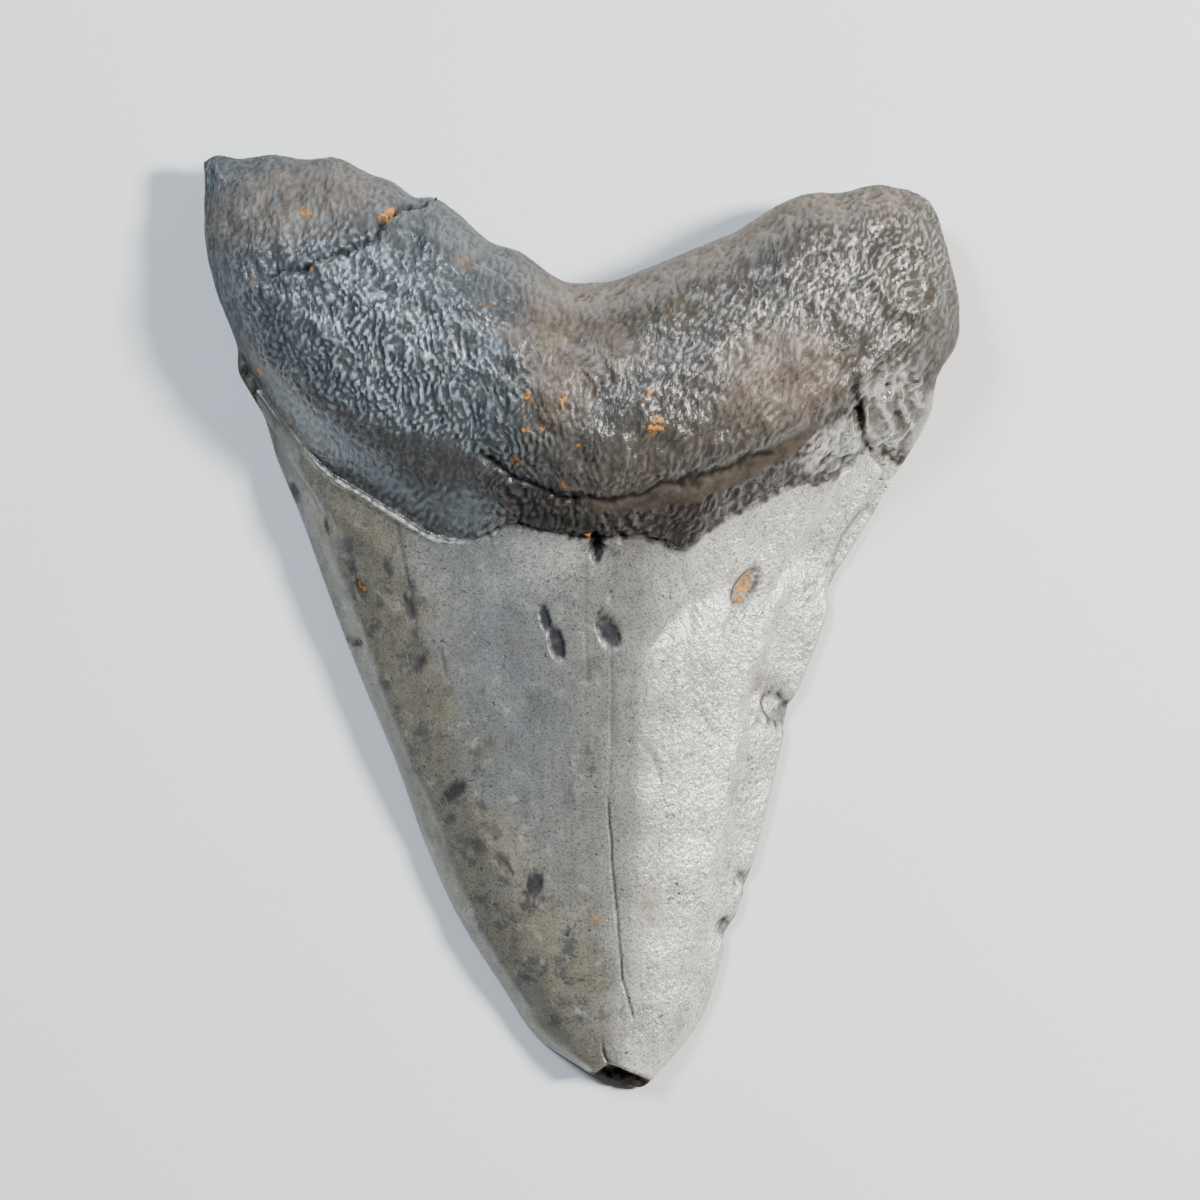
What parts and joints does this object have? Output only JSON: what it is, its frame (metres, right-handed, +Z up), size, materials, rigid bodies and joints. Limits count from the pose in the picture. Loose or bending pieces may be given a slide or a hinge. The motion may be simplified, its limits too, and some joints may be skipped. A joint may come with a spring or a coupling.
{
  "type": "fossil shark tooth",
  "caption": "Fossil giant shark tooth lying with its domed face up: broad notched root, folded neck and a tapering enamel crown with nicked edges and a broken tip.",
  "frame": {"origin": "middle of the tooth's box in plan, on the surface that it lies on", "axes": "+X from the left root lobe to the right one as seen from above, +Y from the broken tip to the root, +Z up out of the lingual face"},
  "size_m": [0.0946, 0.1172, 0.0259],
  "materials": {
    "fossil": "natural polish of mineralised enamel and root, grey-brown"
  },
  "bodies": {
    "root": {"tooth": "fossil"}
  },
  "joints": []
}
